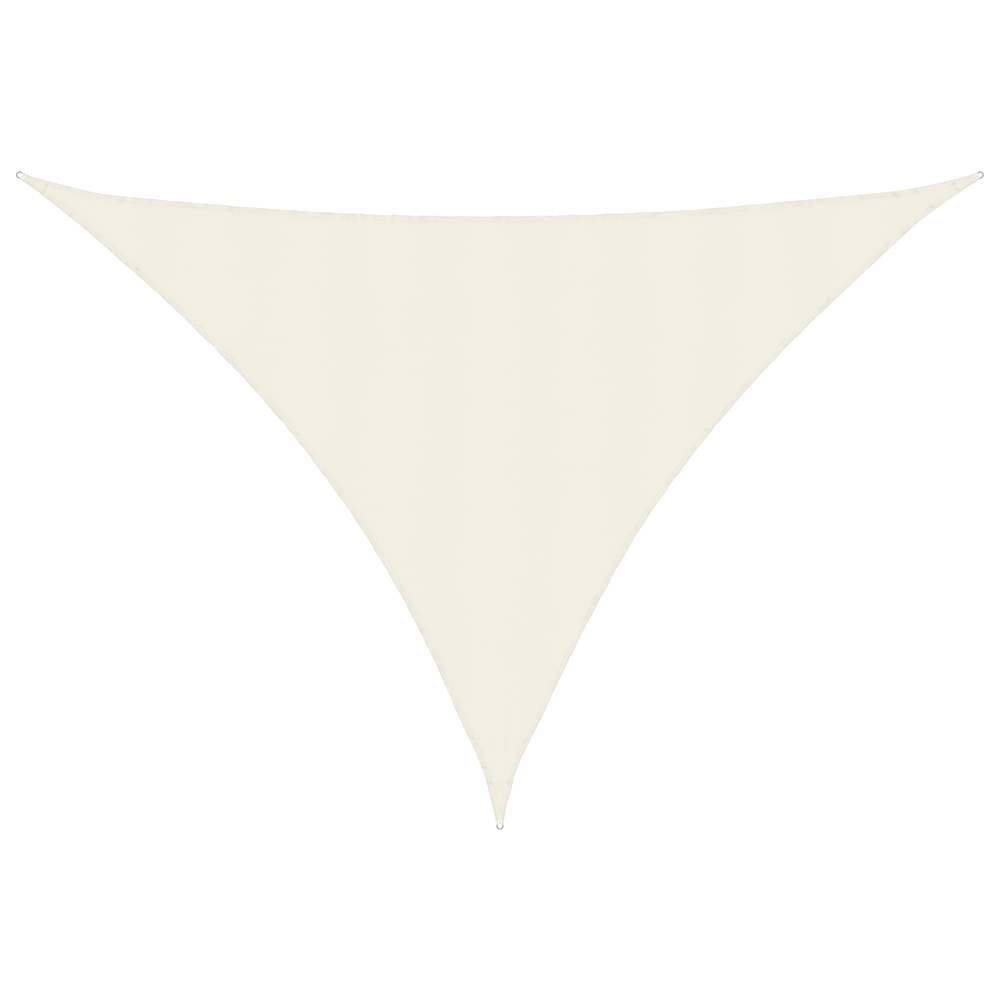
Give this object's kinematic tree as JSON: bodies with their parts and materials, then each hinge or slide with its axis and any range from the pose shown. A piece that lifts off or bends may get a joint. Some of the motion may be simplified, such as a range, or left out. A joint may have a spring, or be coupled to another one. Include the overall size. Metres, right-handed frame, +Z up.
{
  "type": "shade sail",
  "caption": "Triangular shade sail of knitted cloth, laid out flat, with hollow hemmed edges, patched corners, and a steel ring held in webbing loops at each corner.",
  "frame": {"origin": "the middle of the sail's outline box, on the ground that it lies on", "axes": "+X along the long top edge, +Y from the tip towards the top edge, +Z up off the ground"},
  "size_m": [5.985, 4.0708, 0.01],
  "materials": {
    "shade_cloth": "matt knitted polyethylene cloth, cream",
    "patch_cloth": "the same knitted cloth, sewn on in a second layer",
    "white_webbing": "white woven polyester webbing",
    "ring_steel": "polished stainless steel wire, welded round ring"
  },
  "bodies": {
    "root": {"sail_cloth": "shade_cloth", "corner_patch_left": "patch_cloth", "corner_patch_right": "patch_cloth", "corner_patch_tip": "patch_cloth", "webbing_loop_left_1": "white_webbing", "webbing_loop_left_2": "white_webbing", "webbing_loop_right_1": "white_webbing", "webbing_loop_right_2": "white_webbing", "webbing_loop_tip_1": "white_webbing", "webbing_loop_tip_2": "white_webbing", "ring_left": "ring_steel", "ring_right": "ring_steel", "ring_tip": "ring_steel"}
  },
  "joints": []
}
